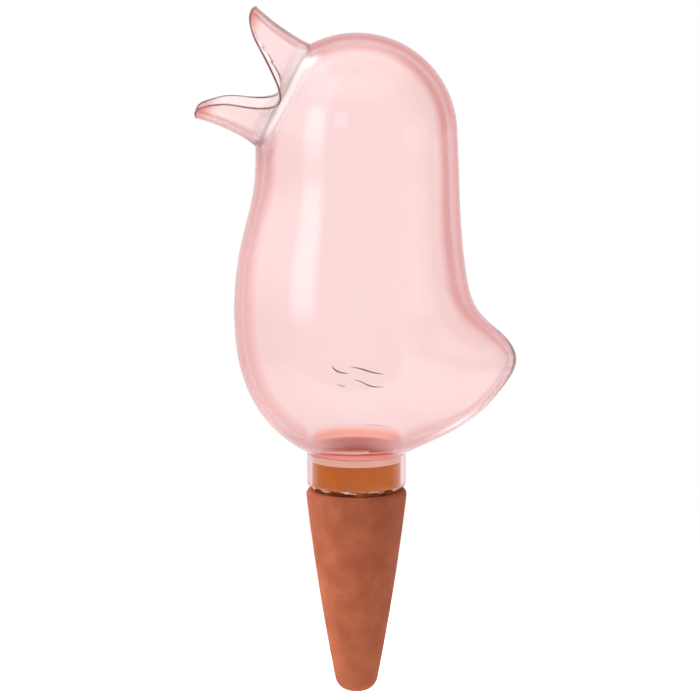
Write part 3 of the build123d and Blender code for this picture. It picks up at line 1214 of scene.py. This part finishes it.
@dataclass
class NeckSeal:
    """The flanged rubber sleeve between the neck and the clay."""

    sleeve_inner: float = 9.7
    sleeve_outer: float = 11.1
    flange_radius: float = 11.6
    flange_bottom: float = 1.6
    flange_top: float = 2.6
    sleeve_top: float = 9.0
    bead_top: float = 11.1
    bead_inner: float = 9.3
    lip_top: float = 15.4
    lip_wall: float = 0.3
    lip_edge: float = 0.01
    lip_levels: int = 24
    gap: float = 0.02
    edge_round: float = 0.3
    flange_margin: float = 0.5
    flange_dip: float = 0.01
    bore_margin: float = 1.0
    bead_margins: Span = (0.2, 0.1)
    around: int = 144

    def build(self) -> bpy.types.Object:
        """Model the sleeve.

        Returns:
            The closed sleeve at its place.
        """
        soft = self.edge_round
        rim = self.flange_radius - soft
        shoulder = self.sleeve_top - soft
        profile = [(reach, self.flange_bottom) for reach in (self.sleeve_inner, rim - self.flange_margin)]
        profile += corner_arc((rim, self.flange_bottom + soft), soft, -90, 0, 5)
        profile += corner_arc((rim, self.flange_top - soft), soft, 0, 80, 5)
        profile += [(self.sleeve_outer, self.flange_top - self.flange_dip)]
        profile += upright(self.sleeve_outer, np.linspace(self.flange_top, shoulder, 8))
        profile += corner_arc((self.sleeve_outer - soft, shoulder), soft, 15, 90, 5)
        profile += corner_arc((self.sleeve_inner + soft, shoulder), soft, 90, 180, 5)
        ends = (self.sleeve_top - self.bore_margin, self.flange_bottom + self.bore_margin)
        profile += upright(self.sleeve_inner, np.linspace(*ends, 5))
        return roll_grid("neck_sleeve", lathe_rings(profile, self.around), closed=True)

    def build_bead(self) -> bpy.types.Object:
        """Model the soft bead on the sleeve's top.

        Returns:
            The closed bead at its place.
        """
        soft = self.edge_round
        foot = self.sleeve_top + self.gap
        shoulder = self.bead_top - soft
        profile = [(self.bead_inner, foot), (self.sleeve_outer, foot)]
        ends = (foot + self.bead_margins[0], shoulder - self.bead_margins[1])
        profile += upright(self.sleeve_outer, np.linspace(*ends, 6))
        profile += corner_arc((self.sleeve_outer - soft, shoulder), soft, 0, 90, 6)
        profile += corner_arc((self.bead_inner + soft, shoulder), soft, 90, 180, 6)
        return roll_grid("neck_sleeve_bead", lathe_rings(profile, self.around), closed=True)

    def build_lip(self) -> bpy.types.Object:
        """Model the sleeve's thin lip, which stands on it inside the neck and thins toward its top.

        Returns:
            The closed lip at its place.
        """
        levels = np.linspace(self.bead_top + self.gap, self.lip_top, self.lip_levels)
        ends = (self.sleeve_outer - self.lip_wall, self.sleeve_outer - self.lip_edge)
        inner = np.linspace(*ends, self.lip_levels)
        profile = upright(self.sleeve_outer, levels) + list(zip(inner[::-1], levels[::-1]))
        return roll_grid("neck_sleeve_lip", lathe_rings(profile, self.around), closed=True)


@dataclass
class ClaySpike:
    """The hollow clay spike with its spigot."""

    radius: float = 12.75
    length: float = 50.6
    shoulder: float = 1.6
    shoulder_round: float = 1.5
    shoulder_inset: float = 0.12
    tip_radius: float = 5.0
    tip_round: float = 4.2
    tip_inset: float = 0.1
    tip_least: float = 0.35
    side_levels: int = 40
    bulge: float = 0.45
    spigot_radius: float = 9.65
    spigot_top: float = 9.0
    spigot_chamfer: float = 0.4
    spigot_margin: float = 0.3
    spigot_foot: float = 0.6
    bore: float = 5.2
    bore_levels: Span = (3.0, 0.0)
    hollow_tip: float = -44.1
    hollow_end: Points = ((2.8, 1.5), (1.6, 0.2), (0.0, 0.0))
    hand_wobble: float = 0.1
    wobble_size: float = 9.0
    around: int = 160

    def outside(self) -> list[Span]:
        """Draw the profile from the tip's middle up to the spigot's foot.

        Returns:
            Points as radius and height.
        """
        lean = math.atan2(self.radius - self.tip_radius, self.shoulder + self.length)
        tip = self.tip_radius - self.tip_round * (1 - math.sin(lean)) / math.cos(lean) - self.tip_inset
        tip = max(tip, self.tip_least)
        points = [(0.0, -self.length), (tip / 2, -self.length)]
        centre = (tip, -self.length + self.tip_round)
        points += corner_arc(centre, self.tip_round, -90, -math.degrees(lean), 12)
        low = points[-1]
        top = (self.radius - self.shoulder_inset, self.shoulder - self.shoulder_round)
        for share in np.linspace(0.0, 1.0, self.side_levels)[1:-1]:
            swell = 4 * self.bulge * share * (1 - share)
            points.append((low[0] + (top[0] - low[0]) * share + swell, low[1] + (top[1] - low[1]) * share))
        points += corner_arc((top[0] - self.shoulder_round, top[1]), self.shoulder_round, 0, 90, 9)
        return points + [(self.spigot_radius + out, self.shoulder) for out in (self.spigot_foot, 0.0)]

    def build(self) -> bpy.types.Object:
        """Model the spike.

        Returns:
            The closed spike at its place, with the slight unevenness of cast clay.
        """
        chamfer = self.spigot_top - self.spigot_chamfer
        profile = self.outside() + upright(self.spigot_radius, (self.shoulder + self.spigot_margin, chamfer))
        profile += [(self.spigot_radius - self.spigot_chamfer, self.spigot_top)]
        mouth = (self.spigot_top, self.spigot_top - self.spigot_margin)
        profile += upright(self.bore, (*mouth, *self.bore_levels))
        profile += [(reach, self.hollow_tip + rise) for reach, rise in self.hollow_end]
        spike = roll_grid("clay_spike_cast", lathe_rings(profile, self.around))
        clouds = bpy.data.textures.new("hand_cast_wobble", type="CLOUDS")
        clouds.noise_scale = self.wobble_size * MM
        wobble = spike.modifiers.new("wobble", "DISPLACE")
        wobble.texture = clouds
        wobble.texture_coords = "LOCAL"
        wobble.strength = self.hand_wobble * MM
        wobble.mid_level = 1.0
        pick(spike)
        bpy.ops.object.modifier_apply(modifier=wobble.name)
        return spike


@dataclass(frozen=True)
class SoftGlow:
    """A soft-edged patch of light on the walls round the set, placed in degrees as seen from the bird."""

    turn: float
    rise: float
    half_turn: float
    half_rise: float
    fade: float
    level: float


@dataclass
class Studio:
    """Floor, light and camera."""

    camera_rise: float = 10.0
    camera_distance: float = 950.0
    aim: Way = (-1.62, 0.0, 36.65)
    focal: float = 196.2
    sensor: float = 36.0
    nearest: float = 10.0
    floor_level: float = -130.0
    floor_size: float = 1200.0
    floor_shift: float = 0.3
    floor_colour: tuple[float, float, float, float] = (0.8, 0.8, 0.8, 1.0)
    floor_glow: float = 0.4
    floor_shine: float = 0.3
    floor_fade: Span = (260.0, 560.0)
    pool: Span = (116.0, 159.0)
    pool_size: float = 55.0
    pool_level: float = 2.0
    light_turns: int = 64
    dark_level: float = 0.14
    glows: tuple[SoftGlow, ...] = (
        SoftGlow(turn=-168, rise=10, half_turn=45, half_rise=60, fade=40, level=0.8),
        SoftGlow(turn=-50, rise=13, half_turn=7, half_rise=14, fade=10, level=2.6),
        SoftGlow(turn=-80, rise=32, half_turn=32, half_rise=24, fade=18, level=1.6),
        SoftGlow(turn=55, rise=15, half_turn=8, half_rise=14, fade=20, level=0.5),
        SoftGlow(turn=72, rise=4, half_turn=10, half_rise=5, fade=11, level=0.8),
        SoftGlow(turn=60, rise=-25, half_turn=9, half_rise=4, fade=9, level=1.5),
        SoftGlow(turn=122, rise=-16, half_turn=18, half_rise=10, fade=12, level=0.6),
        SoftGlow(turn=-19, rise=22, half_turn=5, half_rise=6, fade=5, level=1.8),
        SoftGlow(turn=0, rise=72, half_turn=180, half_rise=14, fade=24, level=1.5),
        SoftGlow(turn=-134, rise=43, half_turn=3, half_rise=3, fade=12, level=5.5),
        SoftGlow(turn=0, rise=-52, half_turn=180, half_rise=40, fade=6, level=-0.1),
    )
    gather: float = 1.7
    veil_level: float = 0.98
    veil: tuple[SoftGlow, ...] = (
        SoftGlow(turn=180, rise=-10, half_turn=10, half_rise=10, fade=16, level=0.1),
        SoftGlow(turn=90, rise=0, half_turn=20, half_rise=90, fade=20, level=-0.12),
        SoftGlow(turn=-90, rise=0, half_turn=20, half_rise=90, fade=20, level=-0.12),
    )

    def place_camera(self) -> None:
        """Set up the camera at the photograph's angle."""
        rise = math.radians(self.camera_rise)
        back = Vector((0.0, -math.cos(rise), math.sin(rise)))
        data = bpy.data.cameras.new("photograph_camera")
        data.sensor_width = self.sensor
        data.lens = self.focal
        data.clip_start = self.nearest * MM
        camera = bpy.data.objects.new("photograph_camera", data)
        camera.location = (Vector(self.aim) + back * self.camera_distance) * MM
        camera.rotation_euler = (-back).to_track_quat("-Z", "Y").to_euler()
        bpy.context.scene.collection.objects.link(camera)
        bpy.context.scene.camera = camera

    def add_glow(
        self,
        tree: bpy.types.NodeTree,
        glow: SoftGlow,
        turn: bpy.types.Node,
        rise: bpy.types.Node,
        total: bpy.types.Node,
    ) -> bpy.types.Node:
        """Add one soft patch of light to the walls.

        Args:
            tree: node tree of the world.
            glow: the patch.
            turn: angle round the set, from the camera's side to the right.
            rise: angle above the level.
            total: light of the patches before it.

        Returns:
            Light with this patch added.
        """
        masks = []
        for angle, centre, half in ((turn, glow.turn, glow.half_turn), (rise, glow.rise, glow.half_rise)):
            apart = add_node(tree, "Math", MINUS, {1: math.radians(centre)}, {0: angle})
            wrapped = add_node(tree, "Math", {"operation": "WRAP"}, {1: math.pi, 2: -math.pi}, {0: apart})
            away = add_node(tree, "Math", UNSIGNED, links={0: wrapped})
            span = {"From Min": math.radians(half), "From Max": math.radians(half + glow.fade)}
            fall = {"To Min": 1.0, "To Max": 0.0}
            masks.append(add_node(tree, "MapRange", EASED, span | fall, {"Value": away}))
        patch = add_node(tree, "Math", TIMES, links={0: masks[0], 1: masks[1]})
        return add_node(tree, "Math", TIMES_PLUS, {1: glow.level}, {0: patch, 2: total})

    def light_world(self) -> None:
        """Surround the set with grey walls, soft patches of light and a white sweep behind the bird."""
        world = bpy.data.worlds.new("soft_studio")
        world.use_nodes = True
        bpy.context.scene.world = world
        tree = world.node_tree
        tree.nodes.clear()
        way = add_node(tree, "TexCoord").outputs["Generated"]
        parts = add_node(tree, "SeparateXYZ", links={"Vector": way}).outputs
        nearer = add_node(tree, "Math", TIMES, {1: -1.0}, {0: parts["Y"]})
        turn = add_node(tree, "Math", {"operation": "ARCTAN2"}, links={0: parts["X"], 1: nearer})
        rise = add_node(tree, "Math", {"operation": "ARCSINE"}, links={0: parts["Z"]})
        totals = []
        for level, glows in ((self.dark_level, self.glows), (self.veil_level, self.veil)):
            total = add_node(tree, "Value")
            total.outputs["Value"].default_value = level
            for glow in glows:
                total = self.add_glow(tree, glow, turn, rise, total)
            totals.append(total)
        path = add_node(tree, "LightPath").outputs
        direct = add_node(tree, "Math", {"operation": "LESS_THAN"}, {1: 0.5}, {0: path["Diffuse Depth"]})
        through = add_node(tree, "Mix", NUMBERS, {2: self.gather}, {0: direct, 3: totals[1]})
        lit = add_node(tree, "Mix", NUMBERS, links={0: path["Is Transmission Ray"], 2: totals[0], 3: through})
        seen = add_node(tree, "Mix", NUMBERS, {3: 1.0}, {0: path["Is Camera Ray"], 2: lit})
        light = add_node(tree, "Background", {}, {"Color": WHITE}, {"Strength": seen})
        add_node(tree, "OutputWorld", links={"Surface": light})

    def lay_floor(self) -> None:
        """Lay the pale floor, which fades out far from the bird and is clear to light through the plastic."""
        pick()
        centre = (0.0, self.floor_size * self.floor_shift * MM, self.floor_level * MM)
        bpy.ops.mesh.primitive_plane_add(size=self.floor_size * MM, location=centre)
        floor = bpy.context.active_object
        floor.name = "studio_floor"
        material, tree, _ = new_material("studio_floor_matt_white")
        paint = add_node(tree, "BsdfDiffuse", values={"Color": self.floor_colour, "Roughness": 1.0})
        path = add_node(tree, "LightPath").outputs
        shine = {0: path["Is Glossy Ray"], 2: path["Is Camera Ray"]}
        looked = add_node(tree, "Math", TIMES_PLUS, {1: self.floor_shine}, shine)
        spot = add_node(tree, "NewGeometry").outputs["Position"]
        masks = []
        for middle, inner, outer in (((0.0, 0.0), *self.floor_fade), (self.pool, 0.0, self.pool_size)):
            place = (middle[0] * MM, middle[1] * MM, self.floor_level * MM)
            apart = add_node(tree, "VectorMath", {"operation": "DISTANCE"}, {1: place}, {0: spot})
            span = {"From Min": inner * MM, "From Max": outer * MM}
            masks.append(add_node(tree, "MapRange", EASED, span, {"Value": apart}))
        # Painted pool of light on the floor, which only glossy rays see
        fall = {"To Min": self.pool_level, "To Max": 0.0}
        pool = add_node(tree, "MapRange", {}, fall, {"Value": masks[1]})
        pooled = add_node(tree, "Math", TIMES, links={0: pool, 1: path["Is Glossy Ray"]})
        share = add_node(tree, "Math", TIMES_PLUS, {1: self.floor_glow}, {0: looked, 2: pooled})
        glow = add_node(tree, "Emission", links={"Strength": share})
        white = add_node(tree, "AddShader", links={0: paint, 1: glow})
        clear = add_node(tree, "BsdfTransparent")
        far = {0: path["Is Transmission Ray"], 1: masks[0]}
        gone = add_node(tree, "Math", {"operation": "MAXIMUM"}, links=far)
        sweep = add_node(tree, "MixShader", links={0: gone, 1: white, 2: clear})
        add_node(tree, "OutputMaterial", links={"Surface": sweep})
        floor.data.materials.append(material)

    def build(self) -> None:
        """Set up the whole studio."""
        self.place_camera()
        self.light_world()
        self.lay_floor()
        bpy.context.scene.view_settings.view_transform = "Standard"
        cycles = bpy.context.scene.cycles
        cycles.max_bounces = self.light_turns
        cycles.transmission_bounces = self.light_turns
        cycles.glossy_bounces = self.light_turns


def main() -> None:
    """Build every piece in order, dress it and set up the studio."""
    logging.basicConfig(level=logging.INFO, format="%(name)s: %(message)s")
    plastic = BlownPlastic().make()
    rubber = MouldedRubber().make()
    bead = LitShadedBead().make()
    lip = ThinLip().make()
    clay = FiredClay().make()
    crease = CreaseShade().make()
    cut_edge = LipShade().make()
    burr = HighlitBurr().make()
    bird = BirdBody()
    beak = BeakFunnel()
    dress(bird.build(beak), plastic, Carrier.BIRD, ("reservoir", "beak"))
    for thread in LipEdges(bird, beak).build():
        dress(thread, cut_edge, Carrier.BIRD)
    dress(NeckBurr(bird).build(), burr, Carrier.BIRD)
    for thread in WingCreases(bird).build():
        dress(thread, crease, Carrier.BIRD)
    seal = NeckSeal()
    dress(seal.build(), rubber, Carrier.SEAL, ("neck_seal",))
    dress(seal.build_bead(), bead, Carrier.SEAL)
    dress(seal.build_lip(), lip, Carrier.SEAL)
    dress(ClaySpike().build(), clay, Carrier.SPIKE, ("clay_spike",))
    Studio().build()


if __name__ == "__main__":
    main()
